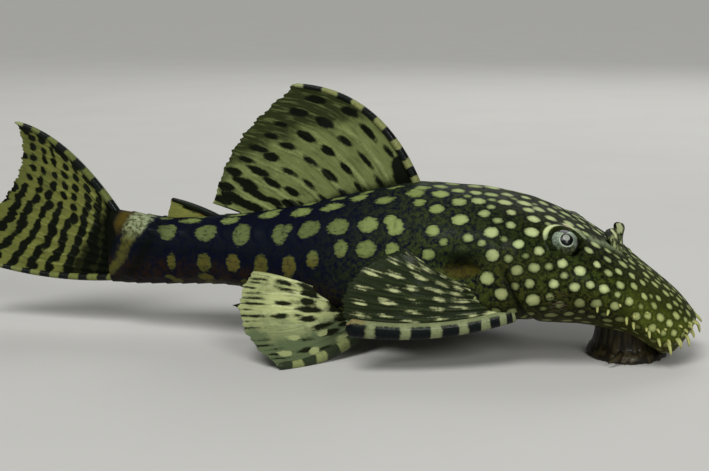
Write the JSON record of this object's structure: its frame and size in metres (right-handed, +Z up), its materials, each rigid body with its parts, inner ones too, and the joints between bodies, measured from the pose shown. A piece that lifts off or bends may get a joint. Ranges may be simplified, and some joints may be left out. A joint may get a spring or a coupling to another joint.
{
  "type": "bristlenose pleco",
  "caption": "Armoured sucker-mouthed catfish at rest, pale-spotted, with a bristled snout, tall dorsal fin and spread paired fins.",
  "frame": {"origin": "on the surface it lies on, under the middle of its length and width", "axes": "+X towards the snout, +Y towards the fish's left side, +Z up"},
  "size_m": [0.1566, 0.0546, 0.0509],
  "materials": {
    "skin": "wet bony skin, blackish olive with pale round spots",
    "fins": "olive-yellow membrane with rows of black dashes along the rays",
    "lips": "soft, finely warted",
    "eyes": "glossy, silver-grey iris and black pupil"
  },
  "bodies": {
    "root": {"head": "skin", "trunk": "skin", "tail": "skin", "mouth_disc": "lips", "dorsal_fin": "fins", "adipose_fin": "fins", "caudal_fin": "fins", "anal_fin": "fins", "pectoral_fin_right": "fins", "pelvic_fin_right": "fins", "eye_right": "eyes", "pectoral_fin_left": "fins", "pelvic_fin_left": "fins", "eye_left": "eyes"}
  },
  "joints": []
}
